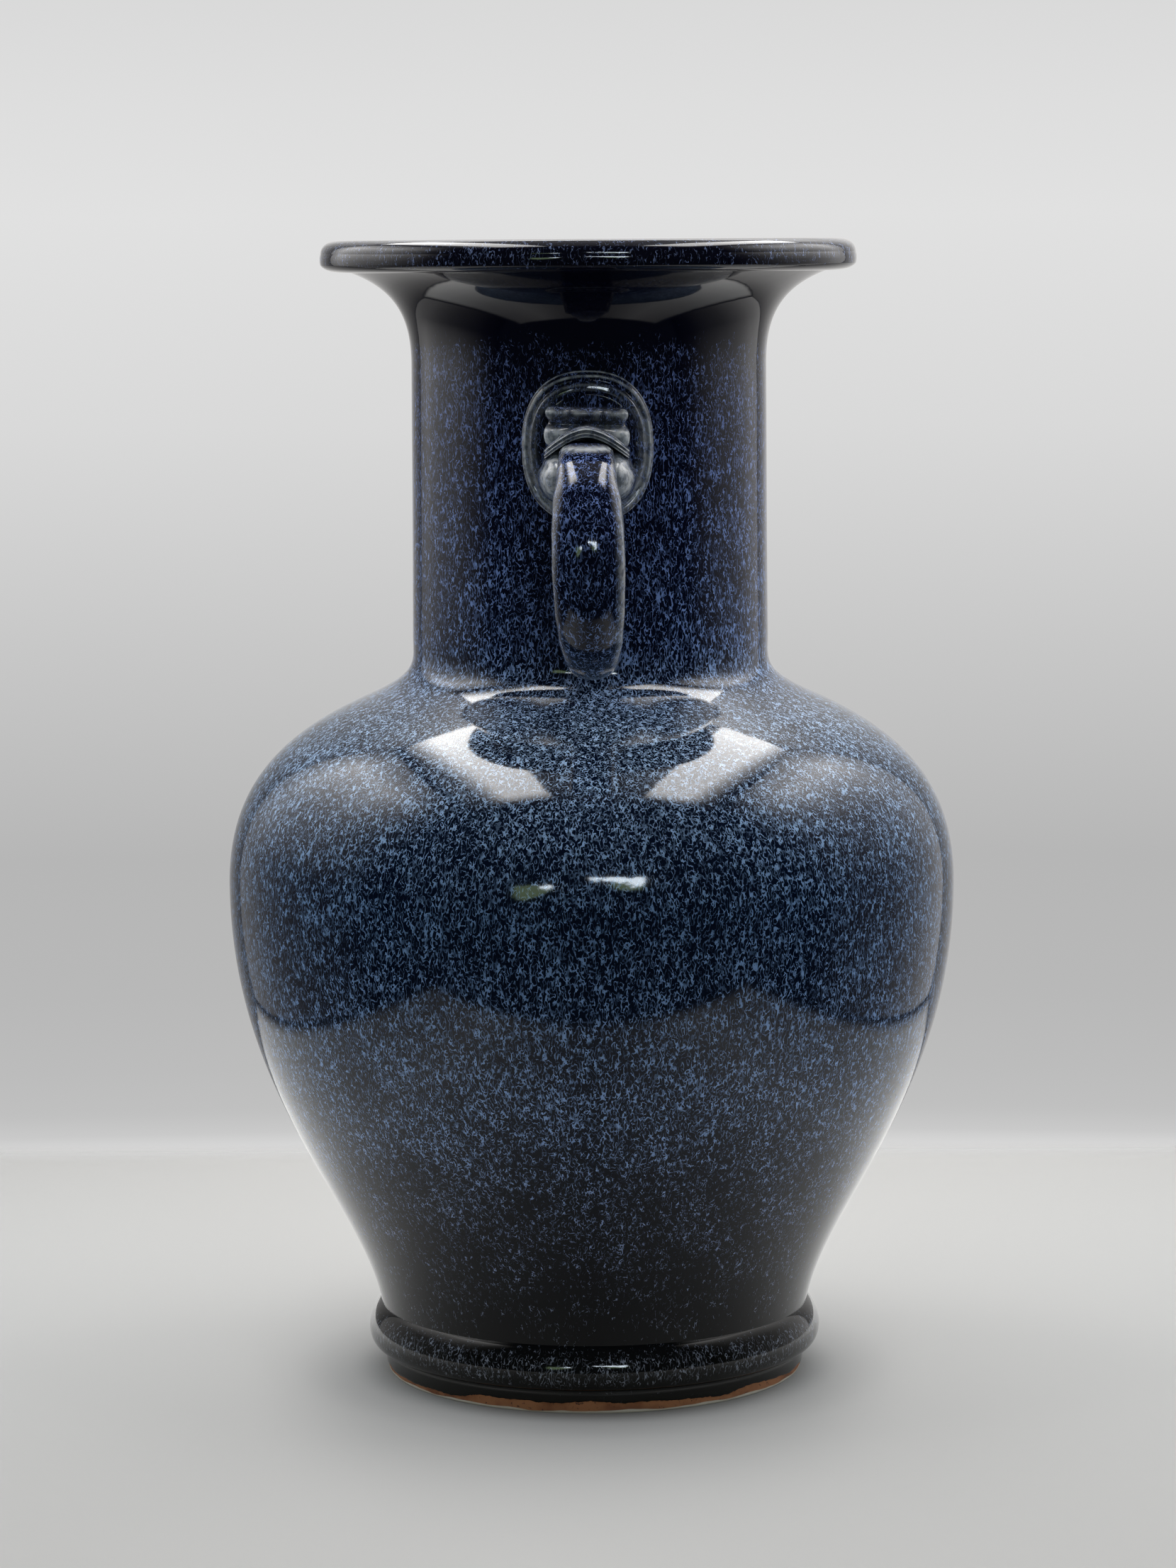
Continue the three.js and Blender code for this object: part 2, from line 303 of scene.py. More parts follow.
def foot_shader(tree):
    """Glaze above the wiped edge and clay below it, told apart by the edge height kept on the mesh."""
    place = on_piece(tree)
    above = node(tree, "ShaderNodeAttribute", attribute_name="above_edge").outputs["Fac"]
    nibble = noise(tree, place, 420, 3.0)
    above = math_node(tree, "MULTIPLY_ADD", nibble, 1.6, math_node(tree, "SUBTRACT", above, 0.8))
    below = math_node(tree, "MULTIPLY", parts_of(tree, place)["Z"], -1.0)
    rim = math_node(tree, "MULTIPLY_ADD", noise(tree, place, 60, 2.0), 0.0026, below)
    clay = clay_shader(tree, between(tree, rim, 0.0, 0.0004))
    glaze_over = glaze_shader(tree)
    mix = node(tree, "ShaderNodeMixShader", {"Fac": between(tree, above, -0.04, 0.04)})
    tree.links.new(clay.outputs[0], mix.inputs[1])
    tree.links.new(glaze_over.outputs[0], mix.inputs[2])
    return mix


def top_of(cad_node):
    """The height in mm of the top of a CAD node."""
    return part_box(cad_node)[1].z / MM


FOOT_TOP = top_of("foot_ring")
foot = turned("foot_of_brown_clay", outline(
    stretch((72.6, 0.0), (73.3, 0.1), (73.6, 0.4), (73.7, 1.0), 8),
    straight((73.7, 1.0), (74.3, 6.6), 26),
    stretch((74.3, 6.6), (74.3, 7.4), (74.0, 8.0), (74.4, FOOT_TOP), 10),
    straight((74.4, FOOT_TOP), (61.4, FOOT_TOP), 10),
    straight((61.4, FOOT_TOP), (60.6, 1.2), 14),
    stretch((60.6, 1.2), (60.5, 0.5), (60.9, 0.0), (61.6, 0.0), 8),
    straight((61.6, 0.0), (72.6, 0.0), 20),
), sides=480)

EDGE_HEIGHT = 3.1
EDGE_WAVES = (
    (2, 4.4, 1.15), (3, 2.4, 0.30), (5, 4.1, 0.40), (9, 1.3, 0.35), (14, 5.2, 0.30), (23, 0.4, 0.22),
)
RECESS_EDGE_HEIGHT = 4.5
OUTER_FACE_FROM = 72
RECESS_FACE_UP_TO = 61.45
BARE_SOLE = -4
GLAZE_THICKNESS = 0.45
BEAD_HALF = 0.5


def above_wiped_edge(x, y, z):
    """How far a point of the foot lies above the edge of the glaze, in mm; the sole is all bare."""
    radius = math.hypot(x, y)
    if radius > OUTER_FACE_FROM:
        turn = math.atan2(y, x)
        wave = sum(depth * math.sin(count * turn + start) for count, start, depth in EDGE_WAVES)
        return z - (EDGE_HEIGHT + wave)
    return z - RECESS_EDGE_HEIGHT if radius < RECESS_FACE_UP_TO else BARE_SOLE


above_edge = foot.data.attributes.new("above_edge", "FLOAT", "POINT")
for vertex in foot.data.vertices:
    x, y, z = (value / MM for value in vertex.co)
    radius = math.hypot(x, y)
    rise = above_wiped_edge(x, y, z)
    above_edge.data[vertex.index].value = rise
    if radius > OUTER_FACE_FROM:
        swell = ease(rise, -BEAD_HALF, BEAD_HALF) * GLAZE_THICKNESS
        vertex.co.x += x / radius * swell * MM
        vertex.co.y += y / radius * swell * MM
foot.data.materials.append(finish_material("wiped_foot", foot_shader))
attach(foot, BODY)
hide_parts("foot_ring")


# ---- Foot moulding ---------------------------------------------------------------------------
# The round moulding above the foot, thrown with it and luted under the body. Blue crystals
# gather on its widest part, and the glass stays black where it runs into the crease below.
glaze = finish_material("blue_run_glaze", glaze_shader)


def glazed(piece, node_names):
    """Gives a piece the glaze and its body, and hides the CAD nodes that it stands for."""
    piece.data.materials.append(glaze)
    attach(piece, BODY)
    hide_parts(*node_names)
    return piece


MOULDING_TOP = top_of("foot_moulding")
MOULDING_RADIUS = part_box("foot_moulding")[1].x / MM
MOULDING_INSIDE = 68.5
BODY_FOOT_RADIUS = 76.0
glazed(turned("round_foot_moulding", outline(
    stretch((74.6, FOOT_TOP), (78.6, FOOT_TOP), (MOULDING_RADIUS, 11.2), (MOULDING_RADIUS, 15.0), 30),
    stretch((MOULDING_RADIUS, 15.0), (MOULDING_RADIUS, 18.3), (78.4, 22.4),
            (BODY_FOOT_RADIUS, MOULDING_TOP), 30),
    straight((BODY_FOOT_RADIUS, MOULDING_TOP), (MOULDING_INSIDE, MOULDING_TOP)),
    straight((MOULDING_INSIDE, MOULDING_TOP), (MOULDING_INSIDE, FOOT_TOP), 10),
    straight((MOULDING_INSIDE, FOOT_TOP), (74.6, FOOT_TOP)),
)), ["foot_moulding"])


# ---- Base floor ------------------------------------------------------------------------------
# The floor of the pot: a thrown disc of bare clay inside the moulding. The potter's turning tool
# left shallow rings on its underside.
CLAY_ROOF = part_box("base_floor")[0].z / MM
DISC_RADIUS = 68.2
DISC_EDGE_TOP = 17.0
DISC_MIDDLE_TOP = 15.2
TURNING_RINGS = 9
RING_DEPTH = 0.12
RING_POINTS = 90
SAND_DUST = 0.12


def bare_shader(tree):
    """The brown clay with a little of the kiln's sand all over it."""
    return clay_shader(tree, SAND_DUST)


def roof_height(radius):
    """The underside of the floor, which the turning tool left in shallow rings."""
    return CLAY_ROOF + RING_DEPTH * math.cos(radius / DISC_RADIUS * TURNING_RINGS * WHOLE_TURN)


roof = [(DISC_RADIUS * step / RING_POINTS, roof_height(DISC_RADIUS * step / RING_POINTS))
        for step in range(RING_POINTS + 1)]
floor_disc = turned("floor_of_the_pot", outline(
    roof,
    straight((DISC_RADIUS, roof_height(DISC_RADIUS)), (DISC_RADIUS, DISC_EDGE_TOP)),
    stretch((DISC_RADIUS, DISC_EDGE_TOP), (50.0, 15.6), (25.0, DISC_MIDDLE_TOP), (0.0, DISC_MIDDLE_TOP), 30),
), sides=192)
floor_disc.data.materials.append(finish_material("bare_brown_clay", bare_shader))
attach(floor_disc, BODY)
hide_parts("base_floor")


# ---- Body, neck and mouth --------------------------------------------------------------------
# Five thrown courses of stoneware luted one on another: lower and upper body, neck, flared mouth
# and rolled lip. The glaze runs over every joint, so the outer line goes smoothly from one to the next.
WALL = 7.5


def inward(points, wall=WALL):
    """The inner line of a wall, the same distance inside the outer line all the way, run backwards."""
    inner = []
    for index, (radius, height) in enumerate(points):
        before, after = points[max(index - 1, 0)], points[min(index + 1, len(points) - 1)]
        along = (after[0] - before[0], after[1] - before[1])
        size = math.hypot(*along)
        inner.append((radius - wall * along[1] / size, height + wall * along[0] / size))
    inner[0] = (inner[0][0], points[0][1])
    inner[-1] = (inner[-1][0], points[-1][1])
    return inner[::-1]


def course(name, cad_node, outer):
    """One course of the wall from its outer line, bottom to top."""
    inner = inward(outer)
    section = outline(outer, straight(outer[-1], inner[0]), inner, straight(inner[-1], outer[0]))
    return glazed(turned(name, section), [cad_node])


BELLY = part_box("lower_body")[1].x / MM
BELLY_LEVEL = top_of("lower_body")
SHOULDER = (79.8, 240.1)
NECK_FOOT = top_of("upper_body")
NECK_TOP = top_of("neck")
NECK_FOOT_RADIUS = 62.5
NECK_TOP_RADIUS = 62.0
BORE_FOOT = 55.0
BORE_TOP = 54.5
LIP_FOOT = top_of("mouth_flare")
LIP_TOP = top_of("rolled_lip")
LIP_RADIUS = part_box("rolled_lip")[1].x / MM
FLARE_OUTSIDE = 83.0
FLARE_INSIDE = 72.5
LIP_CREST = 86.6
course("lower_body_wall", "lower_body",
       stretch((BODY_FOOT_RADIUS, MOULDING_TOP), (82.7, 61.1), (BELLY, 99.3), (BELLY, BELLY_LEVEL), 80))
course("upper_body_wall", "upper_body", outline(
    stretch((BELLY, BELLY_LEVEL), (BELLY, 210.0), (108.5, 227.3), SHOULDER, 64),
    stretch(SHOULDER, (60.3, 248.8), (NECK_FOOT_RADIUS, 252.3), (NECK_FOOT_RADIUS, NECK_FOOT), 34),
))
glazed(turned("neck_wall", outline(
    stretch((NECK_FOOT_RADIUS, NECK_FOOT), (62.1, 300.0), (62.1, 325.0), (NECK_TOP_RADIUS, NECK_TOP), 50),
    straight((NECK_TOP_RADIUS, NECK_TOP), (BORE_TOP, NECK_TOP)),
    straight((BORE_TOP, NECK_TOP), (BORE_FOOT, NECK_FOOT), 30),
    straight((BORE_FOOT, NECK_FOOT), (NECK_FOOT_RADIUS, NECK_FOOT)),
)), ["neck"])
glazed(turned("flared_mouth_wall", outline(
    stretch((NECK_TOP_RADIUS, NECK_TOP), (62.0, 373.5), (67.5, 383.0), (FLARE_OUTSIDE, LIP_FOOT), 44),
    straight((FLARE_OUTSIDE, LIP_FOOT), (FLARE_INSIDE, LIP_FOOT)),
    stretch((FLARE_INSIDE, LIP_FOOT), (60.0, 381.0), (BORE_TOP, 372.0), (BORE_TOP, NECK_TOP), 34),
    straight((BORE_TOP, NECK_TOP), (NECK_TOP_RADIUS, NECK_TOP)),
)), ["mouth_flare"])
glazed(turned("rolled_lip_edge", outline(
    stretch((FLARE_OUTSIDE, LIP_FOOT), (88.2, LIP_FOOT), (91.6, 389.2), (LIP_RADIUS, 391.3), 22),
    stretch((LIP_RADIUS, 391.3), (93.6, 392.2), (93.6, 394.2), (LIP_RADIUS, 395.3), 10),
    stretch((LIP_RADIUS, 395.3), (93.0, 398.4), (90.4, LIP_TOP), (LIP_CREST, LIP_TOP), 28),
    stretch((LIP_CREST, LIP_TOP), (80.0, LIP_TOP), (77.5, 391.9), (FLARE_INSIDE, LIP_FOOT), 34),
    straight((FLARE_INSIDE, LIP_FOOT), (FLARE_OUTSIDE, LIP_FOOT)),
)), ["rolled_lip"])


# ---- Handle pads -----------------------------------------------------------------------------
# A pressed oval pad of clay luted on each side of the neck, with low steps running round it like
# a picture frame. The glaze breaks thin on the steps and pools blue between them.
NECK_RADIUS = 62.3
PAD_LOW, PAD_HIGH = (corner.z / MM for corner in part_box("front_handle_pad"))
PAD_CENTRE = (PAD_LOW + PAD_HIGH) / 2
PAD_HALF = (23.2, 26.4)
PAD_SQUARENESS = 2.35
PAD_SUNK = -1.2
PAD_STEPS = (
    (1.0, -1.0), (0.955, 1.1), (0.90, 1.9), (0.85, 1.55), (0.79, 3.1), (0.73, 3.3), (0.67, 2.7), (0.0, 3.0),
)


def relief(part, steps):
    """Reads a height off a stepped profile, easing between its marks."""
    for (outer, low), (inner, high) in zip(steps, steps[1:]):
        if part >= inner:
            return low + (high - low) * ease(part, outer, inner)
    return steps[-1][1]


def hump(value, centre, width):
    """A smooth hump of height 1 at its centre."""
    return math.exp(-((value - centre) / width) ** 2)


def ball(name, segments=96, rings=64):
    """A ball of radius 1 with its poles to the front and back, ready to be worked into shape."""
    bpy.ops.object.select_all(action="DESELECT")
    bpy.ops.mesh.primitive_uv_sphere_add(segments=segments, ring_count=rings, radius=1)
    piece = bpy.context.object
    piece.name = name
    for vertex in piece.data.vertices:
        x, y, z = vertex.co
        vertex.co = (x, -z, y)
    return piece


def work(piece, shape):
    """Moves each vertex to where shape puts it, in mm, turns the faces outwards if that mirrored the
    piece, and smooths the surface."""
    for vertex in piece.data.vertices:
        vertex.co = [value * MM for value in shape(*vertex.co)]
    piece.data.update()
    if sum(face.center.dot(face.normal) * face.area for face in piece.data.polygons) < 0:
        bpy.ops.object.mode_set(mode="EDIT")
        bpy.ops.mesh.select_all(action="SELECT")
        bpy.ops.mesh.flip_normals()
        bpy.ops.object.mode_set(mode="OBJECT")
    bpy.ops.object.shade_smooth()
    return piece


def mark_ridges(piece, thinnest, reach=1.1, passes=6):
    """Keeps on each vertex how thin the glaze is: thin where the surface stands out sharply, and at
    least as thin as thinnest says for that place."""
    mesh = piece.data
    count = len(mesh.vertices)
    places = np.zeros(count * 3)
    mesh.vertices.foreach_get("co", places)
    places = places.reshape(-1, 3) / MM
    normals = np.array([vertex.normal[:] for vertex in mesh.vertices])
    edges = np.array([edge.vertices[:] for edge in mesh.edges])
    one, other = edges[:, 0], edges[:, 1]
    span = places[one] - places[other]
    length = np.maximum((span ** 2).sum(1), 1e-6)
    total = np.zeros(count)
    uses = np.zeros(count)
    np.add.at(total, one, (span * normals[one]).sum(1) / length)
    np.add.at(total, other, -(span * normals[other]).sum(1) / length)
    np.add.at(uses, one, 1)
    np.add.at(uses, other, 1)
    bend = total / np.maximum(uses, 1)
    for _ in range(passes):
        spread = np.zeros(count)
        np.add.at(spread, one, bend[other])
        np.add.at(spread, other, bend[one])
        bend = 0.5 * bend + 0.5 * spread / np.maximum(uses, 1)
    ridge = np.clip((bend * reach - 0.06) / 0.22, 0, 1)
    ridge = np.maximum(ridge, [thinnest(*place) for place in places])
    kept = mesh.attributes.new("ridge", "FLOAT", "POINT")
    kept.data.foreach_set("value", ridge)


def both_handles(piece, cad_name, thinnest):
    """Glazes a piece of the front handle, and its copy half a turn round the neck on the back one."""
    mark_ridges(piece, thinnest)
    bpy.ops.object.select_all(action="DESELECT")
    piece.select_set(True)
    bpy.context.view_layer.objects.active = piece
    bpy.ops.object.duplicate()
    twin = bpy.context.object
    bpy.ops.transform.rotate(value=math.pi, orient_axis="Z", center_override=(0, 0, 0))
    bpy.ops.object.transform_apply(location=True, rotation=True, scale=True)
    name = piece.name
    for made, side in ((piece, "front"), (twin, "back")):
        made.name = f"{side}_{name}"
        glazed(made, [f"{side}_{cad_name}"])


def pad_shape(x, y, z):
    """Flattens the ball into the stepped oval and wraps it round the neck."""
    part = math.hypot(x, z)
    turn = math.atan2(z, x)
    wide, tall = abs(math.cos(turn)), abs(math.sin(turn))
    squared = 1 / (wide ** PAD_SQUARENESS + tall ** PAD_SQUARENESS) ** (1 / PAD_SQUARENESS)
    across = part * squared * math.cos(turn) * PAD_HALF[0]
    up = part * squared * math.sin(turn) * PAD_HALF[1]
    on_front = y < 0 or part > 0.999
    out = NECK_RADIUS + (relief(part, PAD_STEPS) if on_front else PAD_SUNK)
    angle = across / NECK_RADIUS
    return (out * math.sin(angle), -out * math.cos(angle), PAD_CENTRE + up)


def thin_on_pad(x, y, z):
    """A band of thin glaze inside the pad's edge, at the sides and below."""
    across = math.atan2(x, -y) * NECK_RADIUS / PAD_HALF[0]
    part = math.hypot(across, (z - PAD_CENTRE) / PAD_HALF[1])
    return 0.45 * hump(part, 0.88, 0.12) * ease(z, PAD_CENTRE + 20, PAD_CENTRE + 6)


both_handles(work(ball("oval_pad", 144, 120), pad_shape), "handle_pad", thin_on_pad)


# ---- Brow ------------------------------------------------------------------------------------
# The beast's brow: a pressed bar of clay with three shallow cells over two round eyes, stuck
# across the upper part of the pad.
def rounded_block(name, cuts=22):
    """A cube from -1 to 1 cut into an even grid, ready to be worked into shape."""
    bpy.ops.object.select_all(action="DESELECT")
    bpy.ops.mesh.primitive_cube_add(size=2)
    piece = bpy.context.object
    piece.name = name
    bpy.ops.object.mode_set(mode="EDIT")
    bpy.ops.mesh.select_all(action="SELECT")
    bpy.ops.mesh.subdivide(number_cuts=cuts)
    bpy.ops.object.mode_set(mode="OBJECT")
    return piece


def soften(x, y, z, half, radius):
    """Where a point of the cube goes on a block of these half sizes with rounded edges."""
    full = [value * size for value, size in zip((x, y, z), half)]
    core = [min(max(value, radius - size), size - radius) for value, size in zip(full, half)]
    away = [a - b for a, b in zip(full, core)]
    size = math.sqrt(sum(value * value for value in away)) or 1
    return [c + a / size * radius for c, a in zip(core, away)]


BROW_HALF = (13.9, 11.4, 6.6)
BROW_ROUNDING = 2.2
brow_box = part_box("front_mask_brow")
BROW_CENTRE = (0, brow_box[0].y / MM + 11.9, brow_box[1].z / MM - 6.5)


def brow_shape(x, y, z):
    """The block with its waist, eyes and cells."""
    px, py, pz = soften(x, y, z, BROW_HALF, BROW_ROUNDING)
    waist = 1 - 0.09 * hump(pz, 1.6, 1.6) + 0.03 * hump(pz, -2.6, 2.4)
    tilt = -0.035 * px
    front = max(0.0, -py / BROW_HALF[1])
    cells = -0.9 * hump(abs(px), 5.6, 0.8) * hump(pz, 4.4, 2.4)
    bar = 1.5 * hump(pz, 4.6, 2.6) * (1 - 0.3 * hump(px, 0, 5))
    eyes = 2.2 * hump(abs(px), 10.2, 3.4) * hump(pz, -2.6, 2.8)
    valley = -1.6 * hump(pz, 0.9, 1.1)
    out = front * (cells + bar + eyes + valley)
    return (BROW_CENTRE[0] + px * waist, BROW_CENTRE[1] + py - out, BROW_CENTRE[2] + pz + tilt)


def thin_on_brow(x, y, z):
    """Thinnest on the front of the eyes, thicker on the bar above them."""
    low_down = ease(z, BROW_CENTRE[2] + 1.0, BROW_CENTRE[2] - 2.0)
    in_front = ease(y, BROW_CENTRE[1] - 2.9, BROW_CENTRE[1] - 8.9)
    return 0.10 + 0.80 * low_down * in_front


both_handles(work(rounded_block("beast_brow", 36), brow_shape), "mask_brow", thin_on_brow)


# ---- Muzzle ----------------------------------------------------------------------------------
# The beast's muzzle: a bent strap of clay that arches over the top of the ring, so that the
# ring seems to hang from its mouth.
MUZZLE_HALF_WIDTH = 14.2
MUZZLE_THICK = 4.2
MUZZLE_ARCH = 7.6
MUZZLE_SWEEP = 2.5
MUZZLE_ROUNDING = 0.42
muzzle_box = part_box("front_mask_muzzle")
MUZZLE_BACK = muzzle_box[1].y / MM + 2.6
MUZZLE_FRONT = muzzle_box[0].y / MM + 0.5
MUZZLE_TOP = muzzle_box[1].z / MM - 0.4


def muzzle_shape(x, y, z):
    """Bends the block into an arch with folds across its front."""
    px, py, pz = soften(x, y, z, (1.0, 1.0, 1.0), MUZZLE_ROUNDING)
    fall = abs(px) ** 1.7
    middle = MUZZLE_TOP - MUZZLE_THICK / 2 - MUZZLE_ARCH * fall
    depth = (py + 1) / 2
    forward = MUZZLE_FRONT + (MUZZLE_BACK - MUZZLE_FRONT) * depth + MUZZLE_SWEEP * fall * (1 - depth)
    folds = -0.55 * math.cos((pz + 0.15) * 3.2 * math.pi) * max(0.0, -py)
    return (px * MUZZLE_HALF_WIDTH, forward + folds, middle + MUZZLE_THICK / 2 * pz)


def thin_on_muzzle(x, y, z):
    """Thinner towards the front of the strap."""
    return 0.12 + 0.28 * ease(y, MUZZLE_FRONT + 8, MUZZLE_FRONT + 2)


both_handles(work(rounded_block("beast_muzzle", 48), muzzle_shape), "mask_muzzle", thin_on_muzzle)


# ---- Cheeks ----------------------------------------------------------------------------------
# The two jaw lobes, pressed balls of clay that close on the ring from each side. Each is pinched
# narrower at its top, under the muzzle.
cheek_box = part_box("front_mask_right_cheek")
CHEEK_CENTRE = (cheek_box[1].x / MM - 8.4, cheek_box[0].y / MM + 19.2, cheek_box[0].z / MM + 8.6)
CHEEK_HALF = (7.2, 19.4, 9.4)


def cheek_shape(side):
    """The shape of the cheek on this side."""
    def shape(x, y, z):
        pinch = 1 - 0.34 * max(z, 0) ** 1.2
        crease = 0.5 * hump(z, 0.35, 0.12) * max(0.0, side * x)
        across = side * CHEEK_CENTRE[0] + CHEEK_HALF[0] * x * pinch - side * crease
        return (across, CHEEK_CENTRE[1] + CHEEK_HALF[1] * y, CHEEK_CENTRE[2] + CHEEK_HALF[2] * z)
    return shape


def thin_on_cheek(x, y, z):
    """Thin over the front of the cheek, blue and thick on its flank."""
    return 0.10 + 0.70 * ease(y, CHEEK_CENTRE[1] - 6, CHEEK_CENTRE[1] - 14)


both_handles(work(ball("beast_left_cheek"), cheek_shape(-1)), "mask_left_cheek", thin_on_cheek)
both_handles(work(ball("beast_right_cheek"), cheek_shape(1)), "mask_right_cheek", thin_on_cheek)


# ---- Rings -----------------------------------------------------------------------------------
# A thick ring of clay that hangs from the beast's mouth to the shoulder. It was made from a flat
# band, so it is wide and square-shouldered at the top, and the glaze fused it to the mask.
RING_BAR = 7.6
ring_low, ring_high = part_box("front_ring")
RING_CENTRE = tuple((ring_low[axis] + ring_high[axis]) / 2 / MM for axis in (1, 2))
RING_HALF = tuple((ring_high[axis] - ring_low[axis]) / 2 / MM - RING_BAR for axis in (1, 2))
RING_LEAN = math.radians(1.2)
RING_WIDTHS = (
    (-1.0, 9.2), (-0.72, 10.7), (-0.45, 11.5), (-0.05, 11.95), (0.3, 11.8), (0.62, 11.3), (0.86, 9.9),
    (1.0, 9.4),
)
ROUND_BAR = 2.05
SQUARER_AT_TOP = 1.4


def ring_width(up):
    """Half the ring's width at this height, from -1 at its foot to 1 at its top."""
    for (low, narrow), (high, wide) in zip(RING_WIDTHS, RING_WIDTHS[1:]):
        if up <= high:
            return narrow + (wide - narrow) * ease(up, low, high)
    return RING_WIDTHS[-1][1]


def ring_shape(x, y, z):
    """Works the torus's round bar into the ring's rounded square one, and stands it on edge."""
    turn = math.atan2(y, x)
    up = math.sin(turn)
    bar_turn = math.atan2(z, math.hypot(x, y) - 1)
    power = ROUND_BAR + SQUARER_AT_TOP * max(up, 0) ** 4
    c, s = math.cos(bar_turn), math.sin(bar_turn)
    size = 1 / (abs(c) ** power + abs(s) ** power) ** (1 / power)
    wide = ring_width(up) * size * s
    thick = RING_BAR * size * c
    forward = RING_CENTRE[0] - math.cos(turn) * (RING_HALF[0] + thick)
    height = RING_CENTRE[1] + up * (RING_HALF[1] + thick)
    drop = RING_CENTRE[1] + RING_HALF[1] - height
    return (wide + drop * math.sin(RING_LEAN), forward, height)


def thin_on_ring(x, y, z):
    """Thin on the shoulder of the ring, under the muzzle, and along both of its sides."""
    above = z - RING_CENTRE[1] - RING_HALF[1]
    shoulder = 0.95 * hump(above, 5.7, 0.8) * ease(y, RING_CENTRE[0] + 4, RING_CENTRE[0] - 6)
    half_width = ring_width((z - RING_CENTRE[1]) / (RING_HALF[1] + RING_BAR))
    return max(shoulder, 0.42 * ease(abs(x) / half_width, 0.78, 1.0))


bpy.ops.object.select_all(action="DESELECT")
bpy.ops.mesh.primitive_torus_add(major_segments=160, minor_segments=56, major_radius=1, minor_radius=0.25)
ring = bpy.context.object
ring.name = "hanging_ring"
both_handles(work(ring, ring_shape), "ring", thin_on_ring)


# ---- Floor and light tent --------------------------------------------------------------------
# The vase stands on a pale matt floor in a small white tent with its front open: two soft light
# strips overhead, pale walls that fade downwards, and a dark room in front.
TENT_HALF = 0.40
TENT_HEIGHT = 0.80


def stage_panel(name, centre, size, turn, build):
    """A flat panel of the stage: centre, width and height in metres, and how it is turned."""
    bpy.ops.object.select_all(action="DESELECT")
    bpy.ops.mesh.primitive_plane_add(size=1, location=centre, rotation=turn)
    panel = bpy.context.object
    panel.name = name
    panel.scale = (size[0], size[1], 1)
    panel.data.materials.append(finish_material(name + "_surface", build))
    return panel


def light(name, centre, size, turn, build):
    """A panel that lights the vase and is mirrored in its glaze, but isn't itself seen."""
    panel = stage_panel(name, centre, size, turn, build)
    panel.visible_camera = False
    return panel


FLOOR_GREY = (0.325, 0.322, 0.314)
# Painted light: the floor glows with this colour, though it is no lamp.
FLOOR_PAINTED_GLOW = (0.205, 0.203, 0.200)
# Painted reflection: seen in the glaze, the floor is painted darker towards the front and brighter towards
# the sides.
PAINTED_REFLECTION_TO_BACK = ((0, 0.35), (0.4, 0.5), (0.6, 0.9), (1, 1))
PAINTED_REFLECTION_TO_SIDE = ((0, 0), (0.12, 0.35), (0.25, 1.1), (0.38, 0.8), (0.5, 0.7))
# Painted shadow: the floor's glow is held down round the foot, by distance from the middle of the floor.
PAINTED_SHADOW_ROUND_FOOT = ((0, 0.05), (0.092, 0.08), (0.108, 0.72), (0.135, 0.98), (0.2, 1))


def floor_shader(tree):
    """Matt pale grey fading out at its edges; painted glow, painted foot shadow, painted reflection shading.
    """
    place = on_piece(tree)
    far = parts_of(tree, vector_node(tree, "ABSOLUTE", place))
    shown = between(tree, math_node(tree, "MAXIMUM", far["X"], far["Y"]), 0.5, 0.44)
    back = math_node(tree, "ADD", parts_of(tree, place)["Y"], 0.5)
    reflection_to_back = ramp(tree, back, PAINTED_REFLECTION_TO_BACK)
    reflection_to_side = ramp(tree, far["X"], PAINTED_REFLECTION_TO_SIDE)
    # Painted reflection: only in reflections is the floor darker in front and brighter at the sides.
    mirrored = node(tree, "ShaderNodeLightPath").outputs["Is Glossy Ray"]
    shade = blend_colour(tree, mirrored, (1, 1, 1), math_node(tree, "ADD", reflection_to_back, reflection_to_side))
    # Painted shadow round the foot: the painted glow fades out towards the middle of the floor.
    from_foot = node(tree, "ShaderNodeVectorMath", {0: place}, operation="LENGTH").outputs["Value"]
    painted_glow = vector_node(tree, "MULTIPLY", shade, ramp(tree, from_foot, PAINTED_SHADOW_ROUND_FOOT))
    paper = node(tree, "ShaderNodeBsdfPrincipled", {
        "Base Color": vector_node(tree, "MULTIPLY", shade, FLOOR_GREY),
        "Roughness": 0.6,
        "Specular IOR Level": 0.2,
        "Emission Color": vector_node(tree, "MULTIPLY", painted_glow, FLOOR_PAINTED_GLOW),
        "Emission Strength": 1.0,
    })
    clear = node(tree, "ShaderNodeBsdfTransparent")
    mix = node(tree, "ShaderNodeMixShader", {"Fac": shown})
    tree.links.new(clear.outputs[0], mix.inputs[1])
    tree.links.new(paper.outputs[0], mix.inputs[2])
    return mix


def glow(across, up, peak, floor_level=(), tint=(1.0, 0.985, 0.97)):
    """Makes an emission shader: its share of the peak across the panel, times its share up it, and
    a weaker level across the panel that is the same all the way up."""
    def build(tree):
        parts = parts_of(tree, on_piece(tree))
        sideways = math_node(tree, "ADD", parts["X"], 0.5)
        upwards = math_node(tree, "ADD", parts["Y"], 0.5)
        strength = math_node(tree, "MULTIPLY", ramp(tree, sideways, across), ramp(tree, upwards, up))
        strength = math_node(tree, "MULTIPLY", strength, peak)
        if floor_level:
            strength = math_node(tree, "ADD", strength, ramp(tree, sideways, floor_level))
        return node(tree, "ShaderNodeEmission", {"Color": (*tint, 1), "Strength": strength})
    return build


LEAF_GREEN = (1.9, 2.6, 1.5)
SKY_WHITE = (22, 25, 28)


